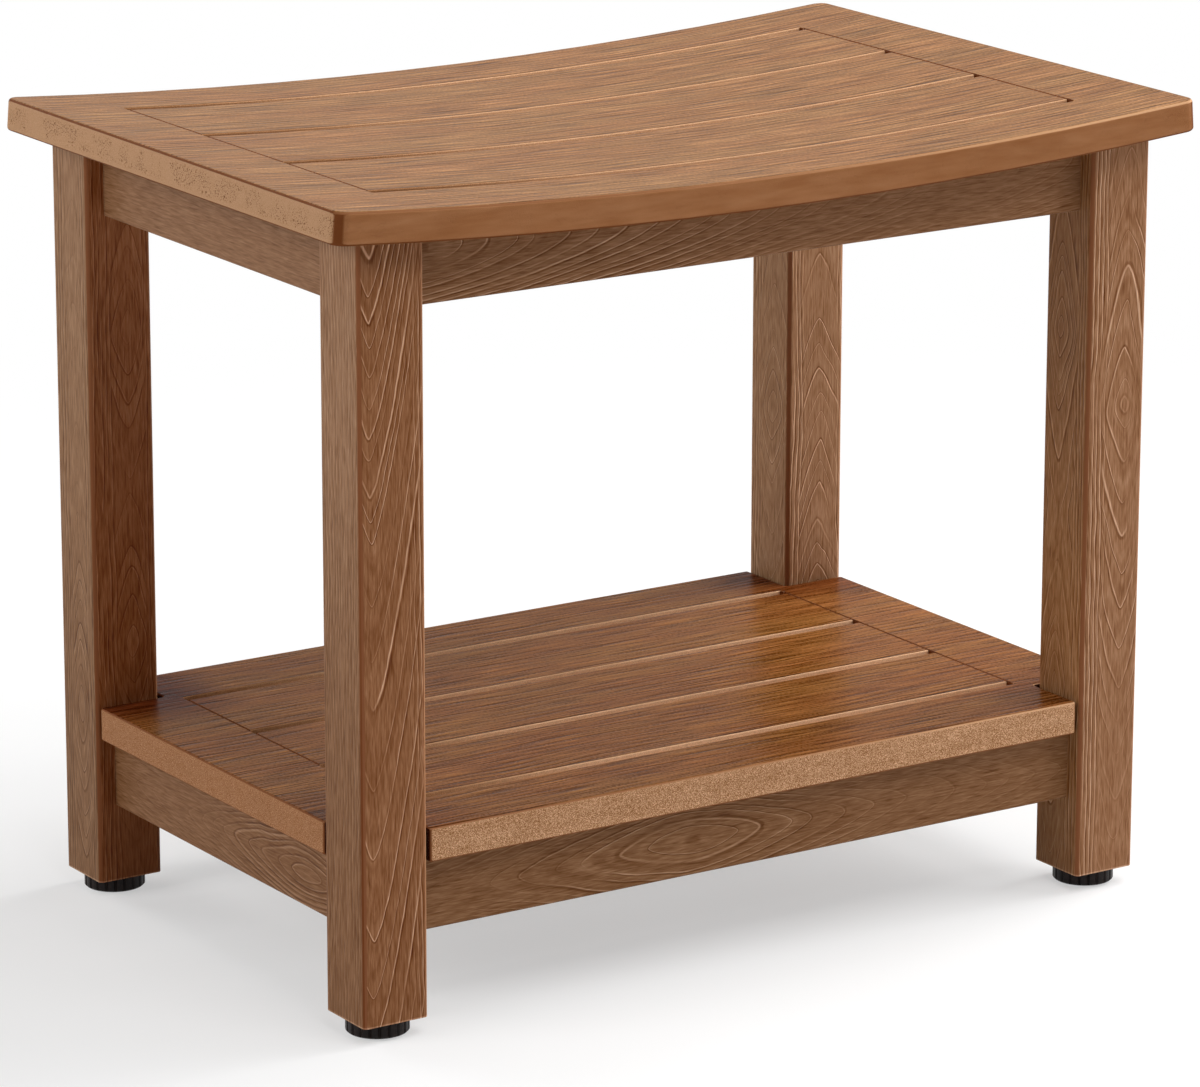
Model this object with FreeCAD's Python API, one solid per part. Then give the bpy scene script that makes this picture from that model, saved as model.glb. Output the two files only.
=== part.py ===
import FreeCAD, Part
import math
import os

from FreeCAD import Vector

# Shower bench: a dished seat board on four square legs, rails under the seat, a shelf on lower rails
# and four ribbed screw feet. Millimetres. X runs along the bench, Y towards its back, Z up, and the
# origin is on the floor under the middle of the seat.

# Seat board
seat_length = 554.0            # between the top edges of the two raised ends
seat_depth = 362.5             # front to back
seat_thickness = 18.0
seat_end_height = 457.2        # floor to the top of the raised ends
seat_dish = 11.4               # how far the middle lies below the ends
seat_corner_radius = 8.0       # the four upright corners
seat_edge_round = 2.0          # all round the top and bottom faces

# How far the seat reaches past the legs
seat_overhang_ends = 20.5
seat_overhang_sides = 15.5

# Drain slots and cross grooves, the same on the seat and on the shelf
slot_count = 4
slot_width = 6.4
slot_border = 51.0             # board edge to the middle of the nearest slot
slot_end_border = 49.5         # board end to the slot ends and the cross groove that joins them
slot_corner_radius = 1.2
slot_lip_round = 0.8
groove_width = 1.6
groove_depth = 1.4

# Legs and rails
leg_side = 40.0
leg_edge_round = 2.8
rail_thickness = 18.0          # upper and lower rails, centred on the legs
rail_edge_round = 1.5
apron_height = 32.0            # under the lowest part of the seat
stretcher_height = 41.0

# Shelf board
shelf_height = 114.4           # floor to the shelf's top face
shelf_thickness = 19.0
shelf_recess = 1.0             # behind the legs' outer faces
shelf_leg_gap = 2.0            # all round each leg
shelf_corner_radius = 2.0
shelf_edge_round = 1.5

# Screw feet
foot_height = 10.0             # floor to the leg's end, screwed fully in
foot_diameter = 34.6
foot_rib_count = 20
foot_rib_depth = 0.9
foot_rib_share = 0.62          # of each rib's pitch that stands at the full diameter
foot_bevel = 0.8
stud_diameter = 8.0
stud_length = 28.0             # above the foot base
stud_root = 4.5                # moulded into the foot base
stud_collar_diameter = 14.0
stud_collar_height = 2.0
insert_diameter = 12.0
insert_length = 20.0
stud_hole_spare = 4.0          # drilled past the stud's tip
pad_diameter = 27.0
pad_thickness = 2.2
pad_stand = 1.0                # of the pad below the foot base
pad_pivot_diameter = 8.0
pad_pivot_height = 1.4

# Corner brackets, their bolts and screws
bracket_thickness = 2.0
bracket_edge_gap = 4.0         # to the rails' lower edges, and to the seat or shelf above
bracket_corner_gap = 24.0      # from the leg's inner corner, along a rail, to the slanted web
bracket_flange = 28.0
bracket_screw_first = 8.0      # from the bend to the first screw
bracket_screw_pitch = 12.0
bracket_screw_length = 12.0
bracket_screw_diameter = 4.0
bracket_screw_head_diameter = 7.5
bracket_screw_head_height = 2.4
hanger_bolt_diameter = 6.0
hanger_bolt_in_leg = 30.0
hanger_bolt_end = 4.0          # past the nut
leg_flat_depth = 8.0           # flat on the leg's inner corner under each bolt, along X and along Y
washer_diameter = 12.0
washer_thickness = 1.6
nut_across_flats = 10.0
nut_height = 5.0

# Seat and shelf screws
board_screw_diameter = 5.0
board_screw_length = 40.0
board_screw_bite = 12.0        # into the seat or the shelf
board_screw_inset = 80.0       # leg face to the nearest screw
board_screw_head_diameter = 9.0
board_screw_head_height = 3.0

# Clearances
seat_gap = 0.2                 # under the dished seat, so that the curved faces only just miss
screw_gap = 0.1                # round a screw, bolt or insert in its hole
bracket_hole_gap = 0.3         # round a screw or bolt in a bracket or washer
head_gap = 0.5                 # round a sunk screw head
thread_gap = 0.05              # stud in its insert, nut on its bolt
pivot_gap = 0.08               # round the pad's pivot
pad_gap = 0.4                  # round the pad in the foot base
pad_seat_gap = 0.1             # between the pad's top and the foot base
foot_gap = 0.3                 # between the foot base and the leg's end

# Values that follow from the sizes above
half_seat_length = seat_length / 2
dish_radius = (half_seat_length ** 2 + seat_dish ** 2) / (2 * seat_dish)
underside_radius = dish_radius + seat_thickness
dish_axis_height = seat_end_height - seat_dish + dish_radius
end_angle = math.asin(half_seat_length / dish_radius)
half_frame_length = half_seat_length - seat_overhang_ends
half_frame_depth = seat_depth / 2 - seat_overhang_sides
inner_leg_x = half_frame_length - leg_side
inner_leg_y = half_frame_depth - leg_side
leg_centre_x = half_frame_length - leg_side / 2
leg_centre_y = half_frame_depth - leg_side / 2
rail_inset = (leg_side - rail_thickness) / 2
apron_bottom = dish_axis_height - underside_radius - apron_height
shelf_underside = shelf_height - shelf_thickness
stretcher_bottom = shelf_underside - stretcher_height
foot_base_bottom = pad_stand
foot_base_top = foot_height - foot_gap
above_everything = seat_end_height + seat_thickness

# Corners as signs along X and Y, and their names
corners = {
    "front_left": (-1, -1),
    "front_right": (1, -1),
    "back_left": (-1, 1),
    "back_right": (1, 1),
}


def underside_height(x):
    """Height of the seat's lower face at a distance x from the middle."""
    return dish_axis_height - math.sqrt(underside_radius ** 2 - x ** 2)


def box(low, high):
    """Box between two opposite corners."""
    size = [high[i] - low[i] for i in range(3)]
    return Part.makeBox(size[0], size[1], size[2], Vector(*low))


def rod(diameter, start, direction, length):
    """Round bar from a start point along a direction."""
    return Part.makeCylinder(diameter / 2, length, Vector(*start), Vector(*direction))


def place(shape, signs):
    """Mirrors a front left shape into the corner with the given signs."""
    placed = shape.copy()
    if signs[0] > 0:
        placed = placed.mirror(Vector(0, 0, 0), Vector(1, 0, 0))
    if signs[1] > 0:
        placed = placed.mirror(Vector(0, 0, 0), Vector(0, 1, 0))
    return placed


def save(name, shapes):
    """Writes one piece, or a group of like pieces."""
    if isinstance(shapes, list):
        shape = Part.makeCompound(shapes)
    else:
        shape = shapes
    shape.exportStep("parts/" + name + ".step")


def edges_along(shape, axis):
    """Straight edges that run along a unit axis."""
    found = []
    for edge in shape.Edges:
        if len(edge.Vertexes) < 2:
            continue
        span = edge.Vertexes[1].Point.sub(edge.Vertexes[0].Point)
        if abs(abs(span.dot(axis)) - edge.Length) < 1e-6:
            found.append(edge)
    return found


# Seat and shelf boards

def dish_point(radius, angle):
    """Point on a circle about the dish's axis, in the plane of the seat's front face."""
    return Vector(radius * math.sin(angle), -seat_depth / 2, dish_axis_height - radius * math.cos(angle))


def space_under_seat():
    """Block of space below the seat's lower face, less a small gap."""
    reach_x = half_seat_length
    reach_y = seat_depth
    block = box((-reach_x, -reach_y, 0), (reach_x, reach_y, above_everything))
    start = Vector(0, -2 * reach_y, dish_axis_height)
    seat_and_above = Part.makeCylinder(underside_radius + seat_gap, 4 * reach_y, start, Vector(0, 1, 0))
    return block.cut(seat_and_above)


def slot_bars(half_length, half_depth, bottom, top):
    """Square-ended bars that cut the drain slots of a board."""
    end_x = half_length - slot_end_border
    first_y = half_depth - slot_border
    bars = []
    for index in range(slot_count):
        y = -first_y + index * 2 * first_y / (slot_count - 1)
        bar = box((-end_x, y - slot_width / 2, bottom), (end_x, y + slot_width / 2, top))
        bars.append(bar.makeFillet(slot_corner_radius, edges_along(bar, Vector(0, 0, 1))))
    return bars


def groove_bar(half_depth, x, height, tilt):
    """V shaped bar for a cross groove, from the front slot to the back slot, lying at a slope tilt."""
    reach = half_depth - slot_border
    rise = groove_depth * 2
    half_top = groove_width / 2 * (groove_depth + rise) / groove_depth
    outline = [
        Vector(0, -reach, -groove_depth),
        Vector(half_top, -reach, rise),
        Vector(-half_top, -reach, rise),
    ]
    wire = Part.makePolygon(outline + outline[:1])
    bar = Part.Face(wire).extrude(Vector(0, 2 * reach, 0))
    bar.rotate(Vector(0, 0, 0), Vector(0, 1, 0), -math.degrees(tilt))
    bar.translate(Vector(x, 0, height))
    return bar


def slot_lip_edges(board, half_length, half_depth, is_top):
    """Edges of the slots on a board's top face."""
    reach_x = half_length - slot_end_border
    reach_y = half_depth - slot_border + slot_width / 2
    slack = 0.01
    found = []
    for edge in board.Edges:
        bounds = edge.BoundBox
        inside_x = max(abs(bounds.XMin), abs(bounds.XMax)) < reach_x + slack
        inside_y = max(abs(bounds.YMin), abs(bounds.YMax)) < reach_y + slack
        upright = bounds.ZLength > slot_lip_round + seat_dish
        if inside_x and inside_y and not upright and is_top(edge.CenterOfMass):
            found.append(edge)
    return found


def seat_board():
    """Dished board of even thickness, its ends square to the dish."""
    arcs = []
    for radius in (dish_radius, underside_radius):
        arcs.append([dish_point(radius, angle) for angle in (-end_angle, 0, end_angle)])
    top, bottom = arcs
    outline = Part.Wire([
        Part.Arc(*top).toShape(),
        Part.LineSegment(top[2], bottom[2]).toShape(),
        Part.Arc(bottom[2], bottom[1], bottom[0]).toShape(),
        Part.LineSegment(bottom[0], top[0]).toShape(),
    ])
    board = Part.Face(outline).extrude(Vector(0, seat_depth, 0))
    corner_edges = []
    for edge in board.Edges:
        if abs(edge.Length - seat_thickness) < 1e-6:
            corner_edges.append(edge)
    board = board.makeFillet(seat_corner_radius, corner_edges)
    rim = []
    for edge in board.Edges:
        middle = edge.CenterOfMass
        from_axis = math.hypot(middle.x, middle.z - dish_axis_height)
        if abs(from_axis - dish_radius - seat_thickness / 2) > seat_thickness / 4:
            rim.append(edge)
    board = board.makeFillet(seat_edge_round, rim)
    low = dish_axis_height - underside_radius - seat_thickness
    board = board.cut(slot_bars(half_seat_length, seat_depth / 2, low, above_everything))

    def is_top(point):
        from_axis = math.hypot(point.x, point.z - dish_axis_height)
        return from_axis < dish_radius + seat_thickness / 2

    lips = slot_lip_edges(board, half_seat_length, seat_depth / 2, is_top)
    board = board.makeFillet(slot_lip_round, lips)
    groove_x = half_seat_length - slot_end_border
    tilt = math.asin(groove_x / dish_radius)
    height = dish_axis_height - dish_radius * math.cos(tilt)
    grooves = [groove_bar(seat_depth / 2, side * groove_x, height, side * tilt) for side in (-1, 1)]
    board = board.cut(grooves)
    for x, y in board_screw_places():
        board = board.cut(board_screw_hole(x, y, underside_height(x)))
    return board


def shelf_board():
    """Flat board with square notches round the legs."""
    half_length = half_frame_length - shelf_recess
    half_depth = half_frame_depth - shelf_recess
    notch_x = inner_leg_x - shelf_leg_gap
    notch_y = inner_leg_y - shelf_leg_gap
    board = box((-half_length, -notch_y, shelf_underside), (half_length, notch_y, shelf_height))
    board = board.fuse(box((-notch_x, -half_depth, shelf_underside), (notch_x, half_depth, shelf_height)))
    board = board.removeSplitter()
    board = board.makeFillet(shelf_corner_radius, edges_along(board, Vector(0, 0, 1)))
    rim = []
    for edge in board.Edges:
        if edge.BoundBox.ZLength < shelf_thickness / 2:
            rim.append(edge)
    board = board.makeFillet(shelf_edge_round, rim)
    board = board.cut(slot_bars(half_length, half_depth, 0, above_everything))

    def is_top(point):
        return point.z > shelf_height - shelf_thickness / 2

    board = board.makeFillet(slot_lip_round, slot_lip_edges(board, half_length, half_depth, is_top))
    groove_x = half_length - slot_end_border
    grooves = [groove_bar(half_depth, side * groove_x, shelf_height, 0) for side in (-1, 1)]
    board = board.cut(grooves)
    for x, y in board_screw_places():
        board = board.cut(board_screw_hole(x, y, shelf_underside))
    return board


# Screws that hold the seat and the shelf

def board_screw_places():
    """Plan positions of the screws: three along each long rail, two along each short one."""
    long_x = inner_leg_x - board_screw_inset
    short_y = inner_leg_y - board_screw_inset
    places = []
    for side in (-1, 1):
        places += [(x, side * leg_centre_y) for x in (-long_x, 0, long_x)]
        places += [(side * leg_centre_x, y) for y in (-short_y, short_y)]
    return places


def board_screw_seat(underside):
    """Height of the face that a screw head bears on, below a board's lower face."""
    return underside + board_screw_bite - board_screw_length


def board_screw(x, y, underside):
    """Round-headed screw that comes up through a rail into a board."""
    seat = board_screw_seat(underside)
    shank = rod(board_screw_diameter, (x, y, seat), (0, 0, 1), board_screw_length)
    head_bottom = seat - board_screw_head_height
    head = rod(board_screw_head_diameter, (x, y, head_bottom), (0, 0, 1), board_screw_head_height)
    return shank.fuse(head).removeSplitter()


def board_screw_hole(x, y, underside):
    """Hole for the screw's shank, from under its head to just past its tip."""
    seat = board_screw_seat(underside)
    length = board_screw_length + screw_gap
    return rod(board_screw_diameter + 2 * screw_gap, (x, y, seat), (0, 0, 1), length)


def board_screw_sink(x, y, underside, rail_bottom):
    """Wider hole below the screw's head, open at the rail's lower edge."""
    seat = board_screw_seat(underside)
    bottom = rail_bottom - rail_edge_round
    return rod(board_screw_head_diameter + 2 * head_gap, (x, y, bottom), (0, 0, 1), seat - bottom)


# Rails

def rail_plan(side):
    """Low and high corners, in plan, of the rail on one side of the bench."""
    outer_x = half_frame_length - rail_inset
    outer_y = half_frame_depth - rail_inset
    return {
        "front": ((-inner_leg_x, -outer_y), (inner_leg_x, rail_thickness - outer_y)),
        "back": ((-inner_leg_x, outer_y - rail_thickness), (inner_leg_x, outer_y)),
        "left": ((-outer_x, -inner_leg_y), (rail_thickness - outer_x, inner_leg_y)),
        "right": ((outer_x - rail_thickness, -inner_leg_y), (outer_x, inner_leg_y)),
    }[side]


def rail(side, bottom, top, round_top):
    """Straight rail between two legs, its long edges eased."""
    low, high = rail_plan(side)
    bar = box((low[0], low[1], bottom), (high[0], high[1], top))
    along = Vector(1, 0, 0) if side in ("front", "back") else Vector(0, 1, 0)
    eased = []
    for edge in edges_along(bar, along):
        if round_top or edge.CenterOfMass.z < bottom + rail_edge_round:
            eased.append(edge)
    return bar.makeFillet(rail_edge_round, eased)


def in_plan(point, side):
    """Whether a plan position lies on the rail of one side."""
    low, high = rail_plan(side)
    return low[0] < point[0] < high[0] and low[1] < point[1] < high[1]


def drill_rail(bar, side, bottom, underside_at, screw_holes):
    """Drills a rail for the screws of the board above it and of its brackets."""
    for x, y in board_screw_places():
        if in_plan((x, y), side):
            bar = bar.cut(board_screw_hole(x, y, underside_at(x)))
            bar = bar.cut(board_screw_sink(x, y, underside_at(x), bottom))
    return bar.cut(screw_holes)


def flat_underside(x):
    """Height of the shelf's lower face."""
    return shelf_underside


def apron(side):
    """Upper rail, its top following the dish of the seat."""
    bar = rail(side, apron_bottom, above_everything, False)
    bar = bar.common(space_under_seat())
    return drill_rail(bar, side, apron_bottom, underside_height, bracket_screw_holes(upper_bracket_span()))


def stretcher(side):
    """Lower rail, flat on top under the shelf."""
    bar = rail(side, stretcher_bottom, shelf_underside, True)
    return drill_rail(bar, side, stretcher_bottom, flat_underside, bracket_screw_holes(lower_bracket_span()))


# Corner brackets with their bolts and screws, all drawn in the front left corner

def upper_bracket_span():
    """Lowest and highest level of an upper bracket."""
    return apron_bottom + bracket_edge_gap, apron_bottom + apron_height - bracket_edge_gap


def lower_bracket_span():
    """Lowest and highest level of a lower bracket."""
    return stretcher_bottom + bracket_edge_gap, shelf_underside - bracket_edge_gap


def corner_point(along_x, along_y, height):
    """Point measured from the leg's inner corner towards the middle of the bench."""
    return Vector(along_x - inner_leg_x, along_y - inner_leg_y, height)


def bracket(span):
    """Bent strip: a flange on each rail and a slanted web between them."""
    bottom, top = span
    bend = bracket_corner_gap + rail_inset
    inner_bend = bend + bracket_thickness * (math.sqrt(2) - 1)
    reach = bend + bracket_flange
    outer = -rail_inset
    inner = bracket_thickness - rail_inset
    plan = [
        (reach, outer), (bend, outer), (outer, bend), (outer, reach),
        (inner, reach), (inner, inner_bend), (inner_bend, inner), (reach, inner),
    ]
    points = [corner_point(x, y, bottom) for x, y in plan]
    strip = Part.Face(Part.makePolygon(points + points[:1])).extrude(Vector(0, 0, top - bottom))
    bolt_hole = hanger_rod(span, hanger_bolt_diameter + 2 * bracket_hole_gap, 0, bolt_web_distance() * 2)
    holes = [bolt_hole]
    for place_on_rail in bracket_screw_places(span):
        start, direction = place_on_rail
        depth = bracket_thickness * 2
        back = start - direction * (depth / 2)
        holes.append(rod(bracket_screw_diameter + 2 * bracket_hole_gap, back, direction, depth))
    return strip.cut(holes)


def bracket_screw_places(span):
    """Points on the bracket's flanges, on the rail's face, with the way each screw is driven."""
    middle = (span[0] + span[1]) / 2
    bend = bracket_corner_gap + rail_inset
    places = []
    for index in range(2):
        reach = bend + bracket_screw_first + index * bracket_screw_pitch
        places.append((corner_point(reach, -rail_inset, middle), Vector(0, -1, 0)))
        places.append((corner_point(-rail_inset, reach, middle), Vector(-1, 0, 0)))
    return places


def bracket_screws(span):
    """The four screws of one bracket, heads on its flanges."""
    screws = []
    for start, direction in bracket_screw_places(span):
        seat = start - direction * bracket_thickness
        shank = rod(bracket_screw_diameter, seat, direction, bracket_thickness + bracket_screw_length)
        head = rod(bracket_screw_head_diameter, seat, direction * -1, bracket_screw_head_height)
        screws.append(shank.fuse(head).removeSplitter())
    return screws


def bracket_screw_holes(span):
    """Holes for the bracket screws in the rails of all four corners."""
    holes = []
    for start, direction in bracket_screw_places(span):
        length = bracket_screw_length + screw_gap
        hole = rod(bracket_screw_diameter + 2 * screw_gap, start, direction, length)
        holes += [place(hole, signs) for signs in corners.values()]
    return holes


def bolt_web_distance():
    """From the leg's inner corner to the near face of the bracket's web, along the bolt."""
    return bracket_corner_gap / math.sqrt(2)


def hanger_rod(span, diameter, start, length):
    """Bar on the bolt's axis, from a distance off the leg's inner corner towards the bench's middle."""
    middle = (span[0] + span[1]) / 2
    step = start / math.sqrt(2)
    return rod(diameter, corner_point(step, step, middle), (1, 1, 0), length)


def hanger_stack():
    """Where the washer, the nut and the bolt's end come along the bolt."""
    washer_at = bolt_web_distance() + bracket_thickness
    nut_at = washer_at + washer_thickness
    end_at = nut_at + nut_height + hanger_bolt_end
    return washer_at, nut_at, end_at


def hanger_bolt(span):
    """Bolt from inside the leg, out through the bracket, to just past its nut."""
    end_at = hanger_stack()[2]
    return hanger_rod(span, hanger_bolt_diameter, -hanger_bolt_in_leg, hanger_bolt_in_leg + end_at)


def hanger_washer(span):
    """Flat washer against the bracket's web."""
    washer_at = hanger_stack()[0]
    ring = hanger_rod(span, washer_diameter, washer_at, washer_thickness)
    hole_diameter = hanger_bolt_diameter + 2 * bracket_hole_gap
    return ring.cut(hanger_rod(span, hole_diameter, washer_at - washer_thickness, washer_thickness * 3))


def hanger_nut(span):
    """Hexagon nut on the washer."""
    nut_at = hanger_stack()[1]
    radius = nut_across_flats / math.sqrt(3)
    ring = [Vector(radius * math.cos(turn * math.pi / 3), radius * math.sin(turn * math.pi / 3), 0)
            for turn in range(7)]
    nut = Part.Face(Part.makePolygon(ring)).extrude(Vector(0, 0, nut_height))
    nut.rotate(Vector(0, 0, 0), Vector(0, 1, 0), 90)
    nut.rotate(Vector(0, 0, 0), Vector(0, 0, 1), 45)
    step = nut_at / math.sqrt(2)
    nut.translate(corner_point(step, step, (span[0] + span[1]) / 2))
    hole_diameter = hanger_bolt_diameter + 2 * thread_gap
    return nut.cut(hanger_rod(span, hole_diameter, nut_at - nut_height, nut_height * 3))


def leg_bolt_cuts(span):
    """Flat on the leg's inner corner and the bolt's hole in it."""
    bottom = span[0] - bracket_edge_gap / 2
    top = span[1] + bracket_edge_gap / 2
    spare = leg_edge_round
    plan = [(-leg_flat_depth - spare, spare), (spare, -leg_flat_depth - spare), (spare, spare)]
    points = [corner_point(x, y, bottom) for x, y in plan]
    flat = Part.Face(Part.makePolygon(points + points[:1])).extrude(Vector(0, 0, top - bottom))
    depth = hanger_bolt_in_leg + screw_gap
    return [flat, hanger_rod(span, hanger_bolt_diameter + 2 * screw_gap, -depth, depth)]


# Legs

def leg():
    """Front left leg: eased edges, top cut to the seat, holes for the foot and the two bolts."""
    post = box(
        (-half_frame_length, -half_frame_depth, foot_height), (-inner_leg_x, -inner_leg_y, above_everything))
    post = post.makeFillet(leg_edge_round, edges_along(post, Vector(0, 0, 1)))
    post = post.common(space_under_seat())
    insert_hole = foot_rod(insert_diameter + 2 * screw_gap, foot_height, insert_length)
    stud_depth = stud_length + stud_hole_spare
    stud_hole = foot_rod(stud_diameter + 2 * head_gap, foot_height, stud_depth)
    cuts = [insert_hole, stud_hole]
    cuts += leg_bolt_cuts(upper_bracket_span())
    cuts += leg_bolt_cuts(lower_bracket_span())
    return post.cut(cuts)


# Screw feet, drawn under the front left leg

def foot_rod(diameter, bottom, height):
    """Upright bar on the foot's axis."""
    return rod(diameter, (-leg_centre_x, -leg_centre_y, bottom), (0, 0, 1), height)


def foot_insert():
    """Threaded bush in the end of the leg."""
    bore = foot_rod(stud_diameter + 2 * thread_gap, foot_height, insert_length)
    return foot_rod(insert_diameter, foot_height, insert_length).cut(bore)


def foot_stud():
    """Stud with a round collar that holds it in the foot base."""
    bottom = foot_base_top - stud_root
    stud = foot_rod(stud_diameter, bottom, stud_root + stud_length)
    collar = foot_rod(stud_collar_diameter, bottom, stud_collar_height)
    return stud.fuse(collar).removeSplitter()


def ribbed_outline():
    """Closed outline of the foot base, about its own axis."""
    outer = foot_diameter / 2
    inner = outer - foot_rib_depth
    pitch = 2 * math.pi / foot_rib_count
    half_rib = pitch * foot_rib_share / 2
    flank = foot_rib_depth / outer

    def at(radius, angle):
        return Vector(radius * math.cos(angle), radius * math.sin(angle), 0)

    edges = []
    for index in range(foot_rib_count):
        middle = index * pitch
        rib_end = middle + half_rib
        valley_start = rib_end + flank
        valley_end = middle + pitch - half_rib - flank
        next_rib = middle + pitch - half_rib
        edges.append(Part.Arc(at(outer, middle - half_rib), at(outer, middle), at(outer, rib_end)).toShape())
        edges.append(Part.LineSegment(at(outer, rib_end), at(inner, valley_start)).toShape())
        valley_middle = at(inner, middle + pitch / 2)
        edges.append(Part.Arc(at(inner, valley_start), valley_middle, at(inner, valley_end)).toShape())
        edges.append(Part.LineSegment(at(inner, valley_end), at(outer, next_rib)).toShape())
    return Part.Wire(edges)


def foot_base():
    """Ribbed hand grip with a recess below for the pad and a socket for the stud."""
    height = foot_base_top - foot_base_bottom
    base = Part.Face(ribbed_outline()).extrude(Vector(0, 0, height))
    base.translate(Vector(-leg_centre_x, -leg_centre_y, foot_base_bottom))
    radius = foot_diameter / 2
    core_height = height - 2 * foot_bevel
    core = foot_rod(foot_diameter, foot_base_bottom + foot_bevel, core_height)
    for level, low, high in (
            (foot_base_bottom, radius - foot_bevel, radius),
            (foot_base_top - foot_bevel, radius, radius - foot_bevel)):
        centre = Vector(-leg_centre_x, -leg_centre_y, level)
        core = core.fuse(Part.makeCone(low, high, foot_bevel, centre, Vector(0, 0, 1)))
    base = base.common(core)
    pad_top = pad_thickness + pad_seat_gap
    recess = foot_rod(pad_diameter + 2 * pad_gap, 0, pad_top)
    pivot_hole = foot_rod(pad_pivot_diameter + 2 * pivot_gap, 0, pad_top + pad_pivot_height)
    return base.cut([recess, pivot_hole, foot_stud()])


def foot_pad():
    """Rubber pad with a short pivot, on which the base turns."""
    pad = foot_rod(pad_diameter, 0, pad_thickness)
    pivot = foot_rod(pad_pivot_diameter, 0, pad_thickness + pad_pivot_height)
    return pad.fuse(pivot).removeSplitter()


def build():
    """Makes every piece and writes it to its own file."""
    os.makedirs("parts", exist_ok=True)
    save("seat_board", seat_board())
    save("shelf_board", shelf_board())
    for side in ("front", "back", "left", "right"):
        save("apron_" + side, apron(side))
        save("stretcher_" + side, stretcher(side))
    spans = {"upper": upper_bracket_span(), "lower": lower_bracket_span()}
    single_pieces = {
        "leg": leg(),
        "upper_bracket": bracket(spans["upper"]),
        "lower_bracket": bracket(spans["lower"]),
        "foot_insert": foot_insert(),
        "foot_stud": foot_stud(),
        "foot_base": foot_base(),
        "foot_pad": foot_pad(),
    }
    for name, shape in single_pieces.items():
        for corner, signs in corners.items():
            save(name + "_" + corner, place(shape, signs))
    for level, span in spans.items():
        in_every_corner = list(corners.values())
        save(level + "_hanger_bolts", [place(hanger_bolt(span), signs) for signs in in_every_corner])
        save(level + "_hanger_washers", [place(hanger_washer(span), signs) for signs in in_every_corner])
        save(level + "_hanger_nuts", [place(hanger_nut(span), signs) for signs in in_every_corner])
        screws = [place(screw, signs) for signs in in_every_corner for screw in bracket_screws(span)]
        save(level + "_bracket_screws", screws)
    save("seat_screws", [board_screw(x, y, underside_height(x)) for x, y in board_screw_places()])
    save("shelf_screws", [board_screw(x, y, shelf_underside) for x, y in board_screw_places()])


build()
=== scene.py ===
from collections import namedtuple
import math

import bpy
from mathutils import Matrix, Vector


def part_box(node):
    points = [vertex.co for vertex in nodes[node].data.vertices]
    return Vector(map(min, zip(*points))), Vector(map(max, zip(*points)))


# Shower bench in teak-coloured plastic lumber: its finishes, floor, lights and camera, in metres.

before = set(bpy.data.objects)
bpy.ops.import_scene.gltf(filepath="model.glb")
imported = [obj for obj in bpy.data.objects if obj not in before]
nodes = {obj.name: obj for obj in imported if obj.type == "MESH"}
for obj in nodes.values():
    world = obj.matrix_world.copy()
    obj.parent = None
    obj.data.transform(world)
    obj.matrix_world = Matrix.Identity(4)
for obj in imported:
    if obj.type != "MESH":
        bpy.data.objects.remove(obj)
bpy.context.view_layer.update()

CORNERS = ("front_left", "front_right", "back_left", "back_right")
LEG_CENTRE = (236.5, 145.75)           # millimetres from the middle of the bench, along X and Y
MILLIMETRES = 1000.0                   # in a metre
DISPLAY_GAMMA = 2.2
DISPLAY_WHITE = 255.0
SOFT_EDGE = 0.5                        # millimetres over which the edge of a marked zone fades

# Camera
LENS = 181.76
SENSOR_WIDTH = 36.0
CAMERA_REACH = 200.0
CAMERA_PLACE = (-1.8043, -2.7677, 1.1042)
CAMERA_YAW = -0.57769
CAMERA_PITCH = 0.26683
CAMERA_ROLL = 0.00146

# Soft lights: place, side of the square and power in watts
LIGHTS = {
    "right": ((3.0, 0.0, 1.6), 1.4, 61.0),
    "right_front": ((2.6, -1.5, 1.6), 1.4, 32.0),
    "top_right": ((1.3, 0.0, 2.4), 1.4, 39.0),
    "top_front": ((0.0, -1.3, 2.4), 1.4, 30.0),
    "left": ((-3.0, 0.3, 1.6), 1.4, 40.0),
    "left_back": ((-1.2, 3.0, 1.2), 1.6, 42.0),
}
LIGHT_AIM = (0.0, 0.0, 0.25)
SKY_STRENGTH = 0.02

# Floor
FLOOR_HALF = 30.0
FLOOR_LEVEL = -0.0002                  # just clear of the feet
FLOOR_WHITE = 0.86
FLOOR_ROUGHNESS = 0.9
FLOOR_GLOSS = 0.1
FLOOR_LIFT = 0.5                       # how far its shadows are lifted towards white near the bench
PLAIN_FROM = 500.0                     # millimetres from the middle to where it starts to turn plain white
PLAIN_BEYOND = 1400.0


# Short ways to write node trees

class Wire:
    """A value in a node tree that takes part in sums."""

    def __init__(self, tree, socket):
        self.tree = tree
        self.socket = socket

    def __add__(self, other):
        return self.tree.math("ADD", self, other)

    def __radd__(self, other):
        return self.tree.math("ADD", other, self)

    def __sub__(self, other):
        return self.tree.math("SUBTRACT", self, other)

    def __rsub__(self, other):
        return self.tree.math("SUBTRACT", other, self)

    def __mul__(self, other):
        return self.tree.math("MULTIPLY", self, other)

    def __truediv__(self, other):
        return self.tree.math("DIVIDE", self, other)

    def __pow__(self, other):
        return self.tree.math("POWER", self, other)

    def __abs__(self):
        return self.tree.math("ABSOLUTE", self)


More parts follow.
